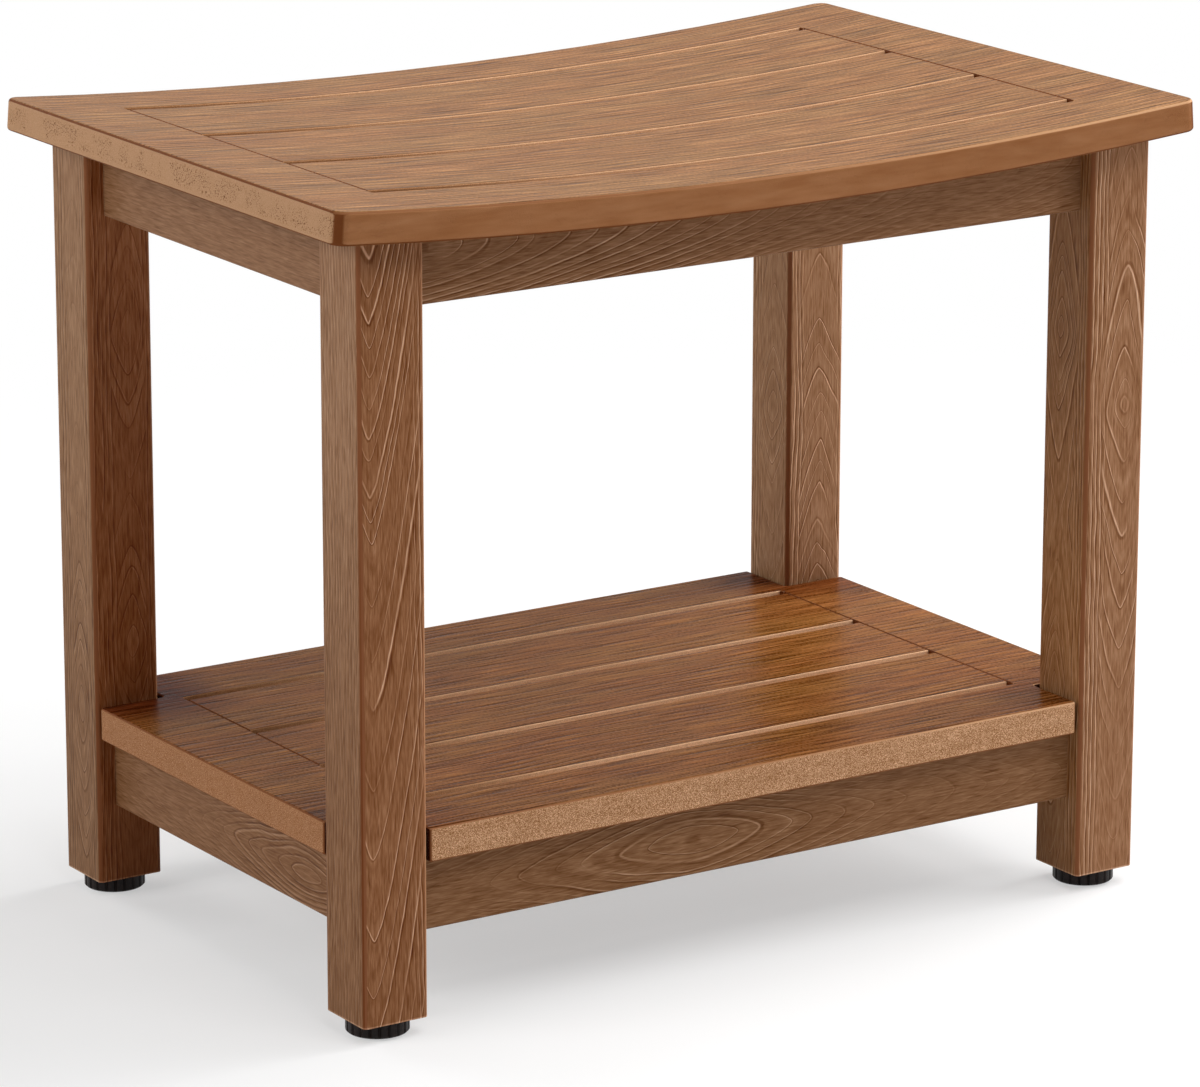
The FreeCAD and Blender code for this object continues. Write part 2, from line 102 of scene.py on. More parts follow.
class Tree:
    """The nodes of a material or of the world, and short ways to add to them."""

    def __init__(self, owner):
        owner.use_nodes = True
        self.owner = owner
        self.nodes = owner.node_tree.nodes
        self.links = owner.node_tree.links
        self.shader = self.nodes.get("Principled BSDF")

    def feed(self, socket, value):
        if isinstance(value, Wire):
            self.links.new(value.socket, socket)
        else:
            socket.default_value = value

    def add(self, kind, inputs=None, output=0, **settings):
        node = self.nodes.new("ShaderNode" + kind)
        for name, value in settings.items():
            setattr(node, name, value)
        for place, value in (inputs or {}).items():
            self.feed(node.inputs[place], value)
        return Wire(self, node.outputs[output])

    def math(self, operation, *values):
        return self.add("Math", dict(enumerate(values)), operation=operation)

    def smooth(self, value, low, high):
        """0 below low, 1 above high and a smooth step between."""
        return self.add("MapRange", {0: value, 1: low, 2: high}, interpolation_type="SMOOTHSTEP")

    def split(self, vector):
        node = self.nodes.new("ShaderNodeSeparateXYZ")
        self.feed(node.inputs[0], vector)
        return [Wire(self, socket) for socket in node.outputs]

    def point(self, x, y, z):
        return self.add("CombineXYZ", {0: x, 1: y, 2: z})

    def noise(self, x, y, z, detail=2.0, roughness=0.5):
        """Noise with a mean of about 0.5. Each place is in millimetres times a fineness, or is a seed."""
        inputs = {"Vector": self.point(x, y, z), "Scale": 1.0, "Detail": detail, "Roughness": roughness}
        return self.add("TexNoise", inputs)

    def speckle(self, place, fineness, seed=0.0, **settings):
        """Noise that is equally fine in all directions."""
        x, y, z = place
        return self.noise(x * fineness, y * fineness, z * fineness + seed, **settings)

    def blend(self, factor, first, second, kind="MIX"):
        """Mix of two colours."""
        inputs = {0: factor, 6: first, 7: second}
        return self.add("Mix", inputs, output=2, data_type="RGBA", blend_type=kind)

    def grey(self, level):
        return self.add("CombineColor", {0: level, 1: level, 2: level})

    def scaled(self, base, step, level):
        """Display colour of about the given level, made lighter or darker in proportion by the step."""
        return self.blend(1.0, base, self.grey(step / level + 1.0), "MULTIPLY")

    def paint(self, base, step):
        """Colour from display values: a base, made lighter or darker by the same step in each channel."""
        return self.add("Gamma", {0: self.blend(1.0, base, self.grey(step), "ADD"), 1: DISPLAY_GAMMA})

    def finish(self, shade, roughness, height, depth, gloss):
        """Feeds the shader: colour, roughness, a relief of the given depth in metres and a gloss level."""
        self.feed(self.shader.inputs["Base Color"], shade)
        self.feed(self.shader.inputs["Roughness"], roughness)
        self.shader.inputs["Specular IOR Level"].default_value = gloss
        bump = self.add("Bump", {"Strength": 1.0, "Distance": depth, "Height": height})
        self.feed(self.shader.inputs["Normal"], bump)
        return self.owner


def material_tree(name):
    return Tree(bpy.data.materials.new(name))


def colour(red, green, blue):
    return (red, green, blue, 1.0)


def display(red, green, blue):
    """Colour as a screen shows it, from 0 to 255 in each channel."""
    return colour(red / DISPLAY_WHITE, green / DISPLAY_WHITE, blue / DISPLAY_WHITE)


def millimetres(tree):
    """Position on the bench along X, Y and Z."""
    return [axis * MILLIMETRES for axis in tree.split(tree.add("TexCoord", output="Object"))]


def facing(tree):
    """The surface's own direction."""
    return tree.split(tree.add("TexCoord", output="Normal"))


def between(tree, value, reach):
    """1 where a value lies within reach of 0, on either side."""
    return 1.0 - tree.smooth(abs(value), reach, reach + SOFT_EDGE)


def numbered(tree, count):
    """Whole number of each line and the way to it, from -0.5 to 0.5."""
    number = tree.math("FLOOR", count)
    return number, count - number - 0.5


# Plastic lumber

FAR = 3000.0                           # out of the way
LUMBER_GLOSS = 0.1
LUMBER_RELIEF = 0.0003
LEG_ROUGHNESS = 0.5
RAIL_ROUGHNESS = 0.52
ROUGHER = 0.4                          # how much a lighter step adds to the roughness
SKIN = display(128, 79, 50)            # smooth skin on the rounded corners
RIGHT_CORNER_HIGHLIGHT = display(170, 124, 90)      # painted highlight on the right-hand rounded corners, where the light from the right falls
LOWER_SHADE_SPAN = (100.0, 400.0)             # heights between which painted shade darkens a leg's lower end
LOWER_RIM_SPAN = (0.5, 1.1)                  # from a leg's lower edge to where the painted highlight along it ends
LOWER_RIM_HIGHLIGHT = 0.16                        # how much lighter that painted highlight is
OLIVE = display(-12, 0, -7)            # step from the reddish to the greener patches
STRAIGHT_PITCH = 2.8                   # between the straight growth lines beside the arches
LINE_STRIDE = 3.7                      # in the noise, from one line to the next
SPARSE_HEIGHT = 270.0                  # below this height a leg's arches lie further apart
SPARSE = 0.42                          # share of the arches that is left there
LEG_SEED_STEP = 11.0
SIDE_SEED_STEP = 4.0
FIRST_RAIL_SEED = 50.0
RAIL_SEED_STEP = 9.0

# Width of a growth line, length of an eye and strength of the fine grain
Lines = namedtuple("Lines", "width eye_length grain")
LEG_LINES = Lines(width=0.5, eye_length=3.5, grain=0.85)
RAIL_LINES = Lines(width=0.6, eye_length=16.0, grain=0.75)

# One face of a leg or rail. Growth lines: where the arches centre across it, two eyes along it, how steep
# and how far apart the arches are, their shape (1 is a V, 2 is round), how far they spread before straight
# lines take over, how far from an eye they fade, and how strong the painted highlight on the ridges and
# the painted shade on their feet are. Then the face's display colour, which on the legs is partly painted
# light, and how much painted shade darkens its lower end.
Face = namedtuple(
    "Face", "centre eye other_eye slope spacing power spread fade light dark red green blue low")


def relief(tree, distance, width):
    """Ridge along a line and the foot beside it: both shape the bump, and in colour the ridge takes a
    painted highlight and the foot painted shade.
    """
    ridge = 1.0 - tree.smooth(abs(distance), width * 0.25, width)
    foot = 1.0 - tree.smooth(abs(distance - width * 1.3), width * 0.3, width * 1.2)
    return ridge, foot


def eye_distance(tree, way, eye_length):
    return tree.math("SQRT", way ** 2.0 + eye_length ** 2.0)


def growth_lines(tree, across, along, face, lines, near, seed):
    """Ridges and feet of nested arches, with ovals round an eye, and of straight lines beside the arches.

    Beyond the distance near from the eye the arches lie further apart. The third value counts millimetres
    across the arches, for the finer grain that follows them; the last is how much of them remains there."""
    wander = tree.noise(across * 0.03, along * 0.012, seed) - 0.5
    ripple = tree.noise(across * 0.2, along * 0.05, seed + 7.3) - 0.5
    side = abs(across - face.centre + wander * 7.0 + ripple) + 0.01
    first = eye_distance(tree, along - face.eye + wander * 24.0, lines.eye_length)
    second = eye_distance(tree, along - face.other_eye + wander * 24.0, lines.eye_length)
    reach = tree.math("SMOOTH_MIN", first, second, 16.0)
    arch = (side * 0.1) ** face.power * face.slope * 10.0 / face.power + reach + ripple * 2.0
    remaining = 1.0 - tree.smooth(reach, face.fade * 0.5, face.fade) * 0.75

    steepness = tree.math("SQRT", ((side * 0.1) ** (face.power - 1.0) * face.slope) ** 2.0 + 1.0)
    sparse = tree.math("MAXIMUM", arch - near, 0.0)
    rate = 1.0 - tree.math("GREATER_THAN", sparse, 0.0) * (1.0 - SPARSE)
    counted = arch - sparse * (1.0 - SPARSE)
    uneven = tree.noise(counted / (face.spacing * 1.9), seed, 0.0, detail=1.0) * 1.6
    number, way = numbered(tree, counted / face.spacing + uneven)
    ridge, foot = relief(tree, way * face.spacing / (steepness * rate), lines.width)
    strength = tree.noise(number * LINE_STRIDE, seed, along * 0.012, detail=1.0)
    strength = tree.smooth(strength, 0.3, 0.55) * 0.75 + 0.25
    strength = strength * (1.0 - tree.smooth(side, face.spread * 0.8, face.spread * 1.25)) * remaining
    gap = tree.noise(along * 0.009, across * 0.03, seed + 8.1, detail=1.0)
    strength = strength * tree.smooth(gap, 0.3, 0.5)

    straight = across + wander * 8.0 + ripple * 1.2
    sway = tree.noise(along * 0.006, across * 0.05, seed + 2.2, detail=1.0) * 1.5
    number, way = numbered(tree, straight / STRAIGHT_PITCH + sway)
    line, groove = relief(tree, way * STRAIGHT_PITCH, lines.width)
    broken = tree.noise(number * LINE_STRIDE, along * 0.014, seed + 4.4, detail=1.0)
    broken = tree.smooth(broken, 0.28, 0.5) * tree.smooth(side, face.spread * 0.7, face.spread * 1.1)
    ridge = tree.math("MAXIMUM", ridge * strength, line * broken)
    foot = tree.math("MAXIMUM", foot * strength, groove * broken)
    return ridge, foot, arch, remaining


def lumber(tree, across, along, face, lines, near, seed):
    """Colour in patches, display step and height of a face with embossed growth lines."""
    ridge, foot, flow, remaining = growth_lines(tree, across, along, face, lines, near, seed)
    streak = tree.noise(flow * 0.09, across * 0.02, seed + 3.1, detail=3.0, roughness=0.62)
    hair = tree.noise(across * 1.2, along * 0.09, seed + 9.4, roughness=0.6)
    dash = tree.smooth(tree.noise(across * 1.1, along * 0.07, seed + 6.8, detail=1.0), 0.56, 0.7)
    fibre = (streak - 0.5) * remaining * 0.24 + (hair - 0.5) * 0.36 - dash * 0.07
    # painted highlight on the ridges and painted shade on their feet, on top of their bump
    step = fibre * lines.grain + ridge * face.light - foot * face.dark
    height = ridge * 0.6 - foot * 0.3 + streak * remaining * 0.2 + hair * 0.2 - dash * 0.2
    base = tree.point(face.red / DISPLAY_WHITE, face.green / DISPLAY_WHITE, face.blue / DISPLAY_WHITE)
    patch = tree.smooth(tree.noise(flow * 0.03, along * 0.006, seed + 5.7), 0.4, 0.62)
    return tree.blend(patch, base, tree.blend(1.0, base, OLIVE, "ADD")), step, height


def leg_material(corner, faces):
    """faces are the front, the left and the other faces."""
    tree = material_tree("lumber_leg_" + corner)
    x, y, z = millimetres(tree)
    nx, ny, _ = facing(tree)
    side_x = -1.0 if "left" in corner else 1.0
    side_y = -1.0 if "front" in corner else 1.0
    on_side = tree.math("GREATER_THAN", abs(nx), abs(ny))
    across = (x - side_x * LEG_CENTRE[0]) * (1.0 - on_side) + (y - side_y * LEG_CENTRE[1]) * on_side
    front = tree.math("LESS_THAN", ny, 0.0) * (1.0 - on_side)
    left = tree.math("LESS_THAN", nx, 0.0) * on_side
    chooser = tree.point(front, left, 1.0 - front - left)
    chosen = []
    for values in zip(*faces):
        inputs = {0: chooser, 1: values}
        chosen.append(tree.add("VectorMath", inputs, output="Value", operation="DOT_PRODUCT"))
    face = Face(*chosen)
    seed = LEG_SEED_STEP * CORNERS.index(corner) + on_side * SIDE_SEED_STEP
    mixed, step, height = lumber(tree, across, z, face, LEG_LINES, abs(face.eye - SPARSE_HEIGHT), seed)

    flat = tree.smooth(tree.math("MAXIMUM", abs(nx), abs(ny)), 0.9, 0.99)
    # painted shade: darker towards the bottom of the leg
    lower = (1.0 - tree.smooth(z, *LOWER_SHADE_SPAN)) * face.low
    # painted highlight: the right-hand rounded corners paler than the left-hand ones
    skin = tree.blend(tree.smooth(nx, 0.2, 0.6), SKIN, RIGHT_CORNER_HIGHLIGHT)
    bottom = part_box("leg_" + corner)[0].z * MILLIMETRES
    # painted highlight along the leg's lower edge
    rim_highlight = (1.0 - tree.smooth(z - bottom, *LOWER_RIM_SPAN)) * LOWER_RIM_HIGHLIGHT
    shade = tree.paint(tree.blend(flat, skin, mixed), step * flat - lower + rim_highlight)
    return tree.finish(shade, LEG_ROUGHNESS + step * ROUGHER, height * flat, LUMBER_RELIEF, LUMBER_GLOSS)


def rail_material(name, face, along_x, bottom, seed):
    """Lumber with the grain along the rail."""
    tree = material_tree("lumber_" + name)
    x, y, z = millimetres(tree)
    nz = facing(tree)[2]
    along, depth = (x, y) if along_x else (y, x)
    upright = 1.0 - tree.smooth(abs(nz), 0.6, 0.8)
    across = (z - bottom) * upright + depth * (1.0 - upright)
    mixed, step, height = lumber(tree, across, along, face, RAIL_LINES, FAR, seed)
    roughness = RAIL_ROUGHNESS + step * ROUGHER
    return tree.finish(tree.paint(mixed, step), roughness, height, LUMBER_RELIEF, LUMBER_GLOSS)


# Boards

GRAIN_PITCH = 5.5                      # between the fine grain lines along the boards
BOARD_LEVEL = 0.36                     # mean display level of the boards
BOARD_RELIEF = 0.0006
CUT_ROUGHNESS = 0.55                   # of the edges and slot walls
SLOT_BORDER = 51.0                     # board edge to the middle of the nearest slot
SLOT_END_BORDER = 49.5                 # board end to the slot ends and the cross groove
SLOT_PITCHES = 3.0                     # between the two outer slots
SLOT_HALF = 3.2
SLOT_LIP = 0.8
# painted shade on the end walls of the slots
SHADED_SLOT_END = display(96, 52, 26)
SLOTTED_MARGIN = (1.0, 8.0)            # beyond the slot ends along X and the outer slots along Y
SHADOW_FROM = (0.5, 0.8)               # from a slot's wall to where the dark line behind it starts
SHADOW_TO = 1.8                        # and ends
SLOT_SHADOW = 0.09                     # how much darker the top is there
# painted shade on the walls of the cross grooves
SHADED_GROOVE_WALL = display(120, 72, 44)
SHADED_SLOT_WALL = display(140, 96, 62)       # painted shade on the front-facing slot walls towards the left end
SLOT_SHADE_SPAN = (-220.0, -60.0)            # along X, from the shaded to the pale slot walls
SLOT_WALL_SHADE = 0.8
LEG_SHADE_COLOUR = display(72, 28, 10)            # painted reddish shade and reflection of the legs on the shelf round them
LEG_SHADE_REACH = (70.0, 80.0)             # leg centre to where it ends, along X and Y
NOTCH_SHADE = display(52, 24, 14)       # painted shade on the shelf walls in the narrow gap beside a leg
NOTCH_REACH = 22.0                     # leg centre to the shelf's notch walls

# Sizes of a board, height of the middle of its edge and how that bends up towards the ends, a display
# colour for each kind of face (a painted highlight for the rim), and how strong the streaks, grain, pits,
# painted shade round the legs, painted light towards the back and gloss are
Board = namedtuple(
    "Board", "half_length half_depth middle bend red tan front end skin wall rim "
    "streaks front_grain end_grain pits stain back_light rough gloss")

SEAT = Board(
    half_length=277.0, half_depth=181.25, middle=436.8, bend=0.0001486,
    red=display(129, 89, 57), tan=display(130, 93, 60),
    front=display(147, 99, 65), end=display(177, 136, 102),
    skin=display(108, 62, 34), wall=display(208, 163, 125), rim=display(192, 146, 108),
    streaks=0.31, front_grain=0.1, end_grain=0.28, pits=0.3,
    stain=0.0, back_light=0.0, rough=0.4, gloss=0.03)
SHELF = Board(
    half_length=255.5, half_depth=164.75, middle=104.9, bend=0.0,
    red=display(124, 76, 38), tan=display(127, 82, 41),
    front=display(173, 129, 94), end=display(158, 111, 77),
    skin=SKIN, wall=display(232, 190, 152), rim=display(206, 160, 122),
    streaks=0.3, front_grain=1.25, end_grain=1.0, pits=0.0,
    stain=0.9, back_light=0.04, rough=0.3, gloss=0.016)


def board_top(tree, x, y, board):
    """Display colour, step and height of the streaked upper and lower faces."""
    sway = tree.noise(x * 0.005, y * 0.012, 1.0) - 0.5
    across = y + sway * 14.0
    hair = tree.noise(x * 0.022, across * 0.62, 2.0, detail=0.0)
    fuzz = tree.noise(x * 0.05, across * 1.1, 5.0, detail=1.0)
    drift = tree.noise(x * 0.006, across * 0.05, 6.0) * 3.0
    number, way = numbered(tree, across / GRAIN_PITCH + drift)
    broken = tree.noise(number * LINE_STRIDE, x * 0.014, 7.0, detail=1.0)
    line = (1.0 - tree.smooth(abs(way), 0.06, 0.3)) * tree.smooth(broken, 0.36, 0.6)
    grain = tree.noise(x * 0.7, y * 0.5, 3.0, detail=1.0)
    patch = tree.noise(x * 0.007, across * 0.03, 8.0)
    shade = tree.blend(tree.smooth(patch, 0.35, 0.65), board.red, board.tan)
    fibre = (hair - 0.5) * board.streaks + (fuzz - 0.5) * 0.28 + (grain - 0.5) * 0.24
    # painted light: the top lighter towards the back and darker towards the front
    step = fibre - line * 0.08 + 0.012 + (tree.smooth(y, -140.0, 140.0) - 0.45) * board.back_light
    return shade, step, hair * 0.4 + fuzz * 0.3 - line * 0.3


def end_pits(tree, place, board):
    """Clusters of fine pits along the middle of the sawn ends."""
    x, _, z = place
    from_middle = abs(z - board.middle - x * x * board.bend)
    dots = tree.speckle(place, 1.3, 30.0, detail=1.0)
    cluster = tree.speckle(place, 0.06, 12.0)
    pit = tree.smooth(dots, 0.6, 0.66) * tree.smooth(cluster, 0.4, 0.55)
    return pit * (1.0 - tree.smooth(from_middle, 3.5, 7.5))


def board_edge(tree, place, normal, board, cells, pit):
    """Display colour and step of the ends, the front and back edges and their rims, which get a painted
    highlight.
    """
    x, y, z = place
    nx, ny, nz = normal
    on_end = tree.smooth(abs(nx), 0.85, 0.95)
    on_front = tree.smooth(abs(ny), 0.85, 0.95)
    edge = tree.blend(on_end, tree.blend(on_front, board.skin, board.front), board.end)
    # painted highlight on the rounded top edges, stronger towards the right-hand end
    rim = tree.smooth(nz, 0.25, 0.45) * tree.smooth(abs(ny), 0.2, 0.35)
    rim = rim * (tree.smooth(x, -150.0, 250.0) * 0.7 + 0.3)
    mottle = tree.noise(x * 0.035, y * 0.035, z * 0.22 + 50.0)
    grain = on_end * board.end_grain + on_front * board.front_grain
    step = (cells - 0.5) * grain + (mottle - 0.5) * 0.13 * on_front - pit * on_end * board.pits
    return tree.blend(rim, edge, board.rim), step


def board_slots(tree, place, normal, board):
    """Where the slots and grooves are, the walls' display colour with painted shade, and each slot's
    painted shadow line.
    """
    x, y, _ = place
    nx, ny, _ = normal
    outer_slot = board.half_depth - SLOT_BORDER
    slot_pitch = outer_slot * 2.0 / SLOT_PITCHES
    behind_slot = numbered(tree, (y + outer_slot) / slot_pitch + 0.5)[1] * slot_pitch
    in_slot = between(tree, behind_slot, SLOT_HALF + SLOT_LIP)
    slotted = between(tree, x, board.half_length - SLOT_END_BORDER + SLOTTED_MARGIN[0])
    slotted = slotted * between(tree, y, outer_slot + SLOTTED_MARGIN[1])
    # painted shade on the front-facing slot walls towards the left end
    wall_shade = (1.0 - tree.smooth(x, *SLOT_SHADE_SPAN)) * tree.math("LESS_THAN", ny, 0.0) * SLOT_WALL_SHADE
    wall = tree.blend(wall_shade, board.wall, SHADED_SLOT_WALL)
    # painted shade on the slot end walls
    slot_wall = tree.blend(tree.smooth(abs(nx), 0.4, 0.7), wall, SHADED_SLOT_END)
    shadow = tree.smooth(behind_slot - SLOT_HALF, *SHADOW_FROM)
    shadow = shadow * between(tree, behind_slot, SLOT_HALF + SHADOW_TO) * slotted * SLOT_SHADOW
    return slotted, tree.blend(in_slot, SHADED_GROOVE_WALL, slot_wall), shadow


def leg_shade_mask(tree, x, y):
    """Mask of the painted shade and reflection round the legs: strong close to them, most of all to the
    back left one.
    """
    near = []
    for way, centre, reach in zip((x, y), LEG_CENTRE, LEG_SHADE_REACH):
        near.append(1.0 - tree.smooth(abs(abs(way) - centre), NOTCH_REACH, reach))
    to_back = tree.smooth(y, -60.0, 60.0) * 0.7 + 0.3
    to_left = 1.0 - tree.smooth(x, -50.0, 50.0) * 0.4
    return near[0] * near[1] * to_back * to_left


def notch_walls(tree, place, normal):
    """1 on the walls of the shelf's notches."""
    walls = []
    for way, side, centre in zip(place, normal, LEG_CENTRE):
        at_wall = between(tree, abs(way) - (centre - NOTCH_REACH), 0.4)
        walls.append(at_wall * tree.smooth(abs(side), 0.7, 0.9))
    return walls[0] + walls[1]


def board_material(name, board):
    """Seat or shelf board: streaked top, cellular cut ends, pale slot walls and dark cross grooves."""
    tree = material_tree("lumber_" + name)
    place = millimetres(tree)
    normal = facing(tree)
    x, y, _ = place
    cells = tree.speckle(place, 2.4, roughness=0.6)
    pit = end_pits(tree, place, board)
    slotted, hollow, shadow = board_slots(tree, place, normal, board)
    side, side_step = board_edge(tree, place, normal, board, cells, pit)
    side = tree.blend(slotted, side, hollow)
    # painted shade on the shelf's notch walls in the gap beside each leg
    side = tree.blend(notch_walls(tree, place, normal) * board.stain, side, NOTCH_SHADE)
    side_step = side_step * (1.0 - slotted) + (cells - 0.5) * slotted * 0.5

    top, top_step, top_height = board_top(tree, x, y, board)
    # painted shade and reflection of the legs on the shelf round them
    top = tree.blend(leg_shade_mask(tree, x, y) * board.stain, top, LEG_SHADE_COLOUR)
    half_step = (top_step - shadow) * 0.5
    top = tree.scaled(top, half_step, BOARD_LEVEL)
    flat = tree.smooth(abs(normal[2]), 0.8, 0.96)
    cut = 1.0 - flat
    shade = tree.paint(tree.blend(flat, side, top), flat * half_step + cut * side_step)
    height = flat * top_height + cut * (cells - pit) * 0.3
    roughness = board.rough + top_step * 0.5 + cut * (CUT_ROUGHNESS - board.rough)
    return tree.finish(shade, roughness, height, BOARD_RELIEF, board.gloss)


# Feet and fittings

NYLON_DARK = colour(0.006, 0.003, 0.0025)
NYLON_LIGHT = colour(0.02, 0.011, 0.009)
RUBBER_DARK = colour(0.016, 0.016, 0.016)
RUBBER_LIGHT = colour(0.045, 0.043, 0.041)
ZINC_DARK = colour(0.42, 0.43, 0.45)
ZINC_LIGHT = colour(0.72, 0.72, 0.71)
BRASS_DARK = colour(0.55, 0.36, 0.12)
BRASS_LIGHT = colour(0.78, 0.56, 0.24)


def foot_material():
    """Semi-gloss black nylon with a faint mottle."""
    tree = material_tree("foot_nylon")
    place = millimetres(tree)
    mottle = tree.smooth(tree.speckle(place, 0.4, detail=3.0), 0.4, 0.75)
    grain = tree.speckle(place, 3.0)
    shade = tree.blend(mottle, NYLON_DARK, NYLON_LIGHT)
    return tree.finish(shade, roughness=0.3 + grain * 0.15, height=grain, depth=0.0001, gloss=0.16)


def rubber_material():
    tree = material_tree("foot_rubber")
    grain = tree.speckle(millimetres(tree), 2.0, detail=3.0)
    shade = tree.blend(grain, RUBBER_DARK, RUBBER_LIGHT)
    return tree.finish(shade, roughness=0.75 + grain * 0.15, height=grain, depth=0.0002, gloss=0.2)


def metal_material(name, dark, light, scratch):
    """Plated metal with spangle and fine drawn scratches."""
    tree = material_tree(name)
    x, y, z = millimetres(tree)
    spangle = tree.speckle((x, y, z), 0.5, detail=3.0, roughness=0.6)
    drawn = tree.noise(x * 0.3, y * 0.3, z * scratch)
    shade = tree.blend(spangle * 0.6 + drawn * 0.4, dark, light)
    tree.shader.inputs["Metallic"].default_value = 1.0
    return tree.finish(shade, roughness=0.25 + spangle * 0.25, height=drawn, depth=0.00008, gloss=0.5)


def dress(name, material):
    """Gives one piece its finish."""
    slots = nodes[name].data.materials
    slots.clear()
    slots.append(material)


# Front, left and other faces of each leg, by what sets them apart from a plain face. Their colours differ
# partly as painted light: paler and greyer where more light and sheen fall.
LEG_FACE = Face(
    centre=0.0, eye=0.0, other_eye=-FAR, slope=2.8, spacing=13.0, power=1.4, spread=14.0, fade=FAR,
    light=0.15, dark=0.08, red=132, green=89, blue=60, low=0.0)
LEG_FACES = {
    "front_left": (
        LEG_FACE._replace(
            centre=-13.5, eye=480.0, slope=4.0, spacing=15.0, spread=30.0,
            light=0.25, dark=0.1, red=134, blue=58),
        LEG_FACE._replace(
            centre=55.0, eye=300.0, slope=3.0, spread=18.0,
            light=0.07, dark=0.05, red=147, green=109, blue=80, low=0.08),
        LEG_FACE._replace(centre=6.0, eye=90.0, other_eye=420.0)),
    "front_right": (
        LEG_FACE._replace(
            centre=6.5, eye=285.0, slope=4.0, spacing=9.0, power=1.5, fade=210.0,
            light=0.2, dark=0.1, red=144, green=102, blue=72),
        LEG_FACE._replace(
            centre=5.0, eye=325.0, other_eye=120.0, slope=4.2, spacing=11.0, spread=15.0,
            light=0.13, dark=0.14, red=146, green=103, blue=67),
        LEG_FACE._replace(centre=-4.0, eye=160.0, other_eye=470.0)),
    "back_left": (
        LEG_FACE._replace(
            centre=4.0, eye=330.0, other_eye=150.0, slope=3.6, spacing=15.0, spread=10.0, fade=110.0,
            light=0.08, dark=0.09, red=143, green=88, blue=53, low=0.03),
        LEG_FACE._replace(
            centre=-3.0, eye=110.0, slope=3.6, spread=9.0, fade=130.0,
            light=0.09, dark=0.13, red=140, green=104, blue=75, low=0.04),
        LEG_FACE._replace(centre=5.0, eye=220.0)),
    "back_right": (
        LEG_FACE._replace(
            centre=3.0, eye=100.0, other_eye=FAR, spacing=15.0,
            light=0.23, dark=0.12, red=162, green=119, blue=86),
        LEG_FACE._replace(
            centre=-4.0, eye=221.0, other_eye=560.0, slope=2.6,
            light=0.12, dark=0.12, red=150, green=111, blue=78),
        LEG_FACE._replace(centre=-7.0, eye=320.0)),
}

for corner, faces in LEG_FACES.items():
    dress("leg_" + corner, leg_material(corner, faces))

# Both sides of each rail, by what sets them apart from a plain one
RAIL_FACE = Face(
    centre=14.0, eye=0.0, other_eye=FAR, slope=4.0, spacing=16.0, power=1.5, spread=40.0, fade=150.0,
    light=0.1, dark=0.09, red=128, green=90, blue=61, low=0.0)
RAIL_FACES = {
    "apron_front": RAIL_FACE._replace(
        centre=30.0, eye=-212.0, slope=3.0, spacing=17.0, power=1.7, fade=260.0,
        light=0.17, dark=0.12, red=133, green=94, blue=65),
    "apron_back": RAIL_FACE._replace(eye=-100.0, fade=220.0, light=0.11, dark=0.1, red=130),
    "apron_left": RAIL_FACE._replace(
        centre=24.0, eye=-FAR, slope=12.0, spacing=60.0, power=1.1, fade=90.0,
        light=0.08, dark=0.08, red=133, green=96, blue=68),
    "apron_right": RAIL_FACE._replace(
        centre=12.0, eye=-60.0, light=0.11, dark=0.1, red=130, green=91, blue=62),
    "stretcher_front": RAIL_FACE._replace(
        centre=19.0, eye=-45.0, slope=3.6, spacing=19.0, light=0.13, red=126, green=89, blue=60),
    "stretcher_back": RAIL_FACE._replace(
        centre=25.0, eye=90.0, other_eye=-FAR, fade=180.0, red=126, green=88, blue=59),
    "stretcher_left": RAIL_FACE._replace(centre=20.0, eye=-85.0, spacing=13.0, fade=110.0, dark=0.1),
    "stretcher_right": RAIL_FACE._replace(eye=30.0, fade=140.0, green=91, blue=62),
}

for number, (name, face) in enumerate(RAIL_FACES.items()):
    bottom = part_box(name)[0].z * MILLIMETRES
    seed = FIRST_RAIL_SEED + RAIL_SEED_STEP * number
    dress(name, rail_material(name, face, name.endswith(("front", "back")), bottom, seed))

dress("seat_board", board_material("seat", SEAT))
dress("shelf_board", board_material("shelf", SHELF))

foot_nylon = foot_material()
foot_rubber = rubber_material()
zinc = metal_material("zinc_plate", ZINC_DARK, ZINC_LIGHT, scratch=4.0)
brass = metal_material("turned_brass", BRASS_DARK, BRASS_LIGHT, scratch=6.0)

for corner in CORNERS:
    dress("foot_base_" + corner, foot_nylon)
    dress("foot_pad_" + corner, foot_rubber)
    dress("foot_insert_" + corner, brass)
    dress("foot_stud_" + corner, zinc)
    dress("upper_bracket_" + corner, zinc)
    dress("lower_bracket_" + corner, zinc)
for level in ("upper", "lower"):
    for kind in ("hanger_bolts", "hanger_washers", "hanger_nuts", "bracket_screws"):
        dress(level + "_" + kind, zinc)
dress("seat_screws", zinc)
dress("shelf_screws", zinc)


# Floor, light and camera

def seen_directly(tree):
    """1 for what the camera sees, also in a reflection or through a clear surface."""
    seen = tree.add("LightPath", output="Is Camera Ray")
    for kind in ("Is Glossy Ray", "Is Transmission Ray"):
        seen = tree.math("MAXIMUM", seen, tree.add("LightPath", output=kind))
    return seen


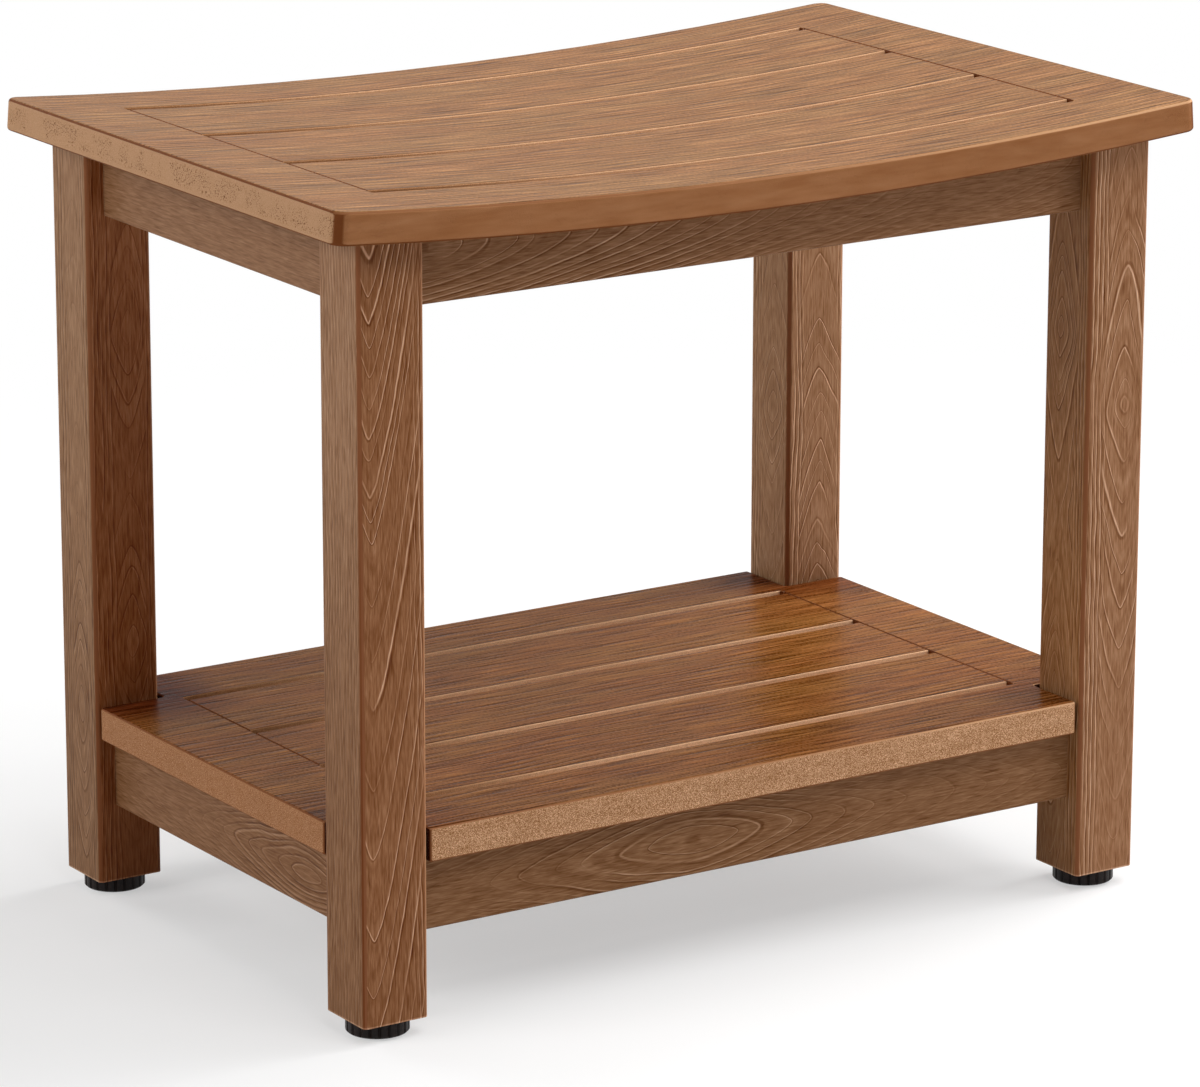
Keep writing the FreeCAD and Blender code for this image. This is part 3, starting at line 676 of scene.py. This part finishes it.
def floor_material():
    """White that takes the shadow, plain white far from the bench and clear from below."""
    tree = material_tree("floor_white")
    tree.shader.inputs["Base Color"].default_value = colour(FLOOR_WHITE, FLOOR_WHITE, FLOOR_WHITE)
    tree.shader.inputs["Roughness"].default_value = FLOOR_ROUGHNESS
    tree.shader.inputs["Specular IOR Level"].default_value = FLOOR_GLOSS
    x, y, _ = millimetres(tree)
    away = tree.smooth(tree.math("SQRT", x * x + y * y), PLAIN_FROM, PLAIN_BEYOND)
    lift = away * (1.0 - FLOOR_LIFT) + FLOOR_LIFT
    white = tree.add("Emission", {"Color": colour(1.0, 1.0, 1.0), "Strength": 1.0})
    lit = Wire(tree, tree.shader.outputs[0])
    shown = tree.add("MixShader", {0: lift * seen_directly(tree), 1: lit, 2: white})
    below = tree.add("NewGeometry", output="Backfacing")
    shown = tree.add("MixShader", {0: below, 1: shown, 2: tree.add("BsdfTransparent")})
    tree.feed(tree.nodes["Material Output"].inputs["Surface"], shown)
    return tree.owner


def floor():
    """Wide floor under the feet."""
    half = FLOOR_HALF
    corners = [(x, y, FLOOR_LEVEL) for x, y in ((-half, -half), (half, -half), (half, half), (-half, half))]
    mesh = bpy.data.meshes.new("floor")
    mesh.from_pydata(corners, [], [(0, 1, 2, 3)])
    mesh.materials.append(floor_material())
    plane = bpy.data.objects.new("floor", mesh)
    bpy.context.scene.collection.objects.link(plane)


def sky():
    """White all round: full white to the camera, softer as a light."""
    world = bpy.data.worlds.new("studio")
    bpy.context.scene.world = world
    tree = Tree(world)
    background = tree.nodes["Background"]
    background.inputs["Color"].default_value = colour(1.0, 1.0, 1.0)
    strength = seen_directly(tree) * (1.0 - SKY_STRENGTH) + SKY_STRENGTH
    tree.feed(background.inputs["Strength"], strength)


def soft_light(name, place, size, power):
    """Square soft light turned to the bench, out of the camera's sight."""
    light = bpy.data.lights.new(name, "AREA")
    light.shape = "SQUARE"
    light.size = size
    light.energy = power
    lamp = bpy.data.objects.new(name, light)
    bpy.context.scene.collection.objects.link(lamp)
    lamp.location = place
    lamp.rotation_euler = (Vector(LIGHT_AIM) - Vector(place)).to_track_quat("-Z", "Y").to_euler()
    lamp.visible_camera = False


def camera():
    """Long lens from the front left, a little above the seat."""
    data = bpy.data.cameras.new("camera")
    data.sensor_fit = "HORIZONTAL"
    data.sensor_width = SENSOR_WIDTH
    data.lens = LENS
    data.clip_end = CAMERA_REACH
    eye = bpy.data.objects.new("camera", data)
    bpy.context.scene.collection.objects.link(eye)
    back = Vector((
        math.sin(CAMERA_YAW) * math.cos(CAMERA_PITCH),
        -math.cos(CAMERA_YAW) * math.cos(CAMERA_PITCH),
        math.sin(CAMERA_PITCH)))
    right = Vector((math.cos(CAMERA_YAW), math.sin(CAMERA_YAW), 0.0))
    up = back.cross(right)
    rolled_right = right * math.cos(CAMERA_ROLL) + up * math.sin(CAMERA_ROLL)
    rolled_up = up * math.cos(CAMERA_ROLL) - right * math.sin(CAMERA_ROLL)
    turn = Matrix((rolled_right, rolled_up, back)).transposed()
    eye.matrix_world = Matrix.Translation(CAMERA_PLACE) @ turn.to_4x4()
    bpy.context.scene.camera = eye


floor()
sky()
for light_name, (place, size, power) in LIGHTS.items():
    soft_light(light_name, place, size, power)
camera()
bpy.context.scene.view_settings.view_transform = "Standard"
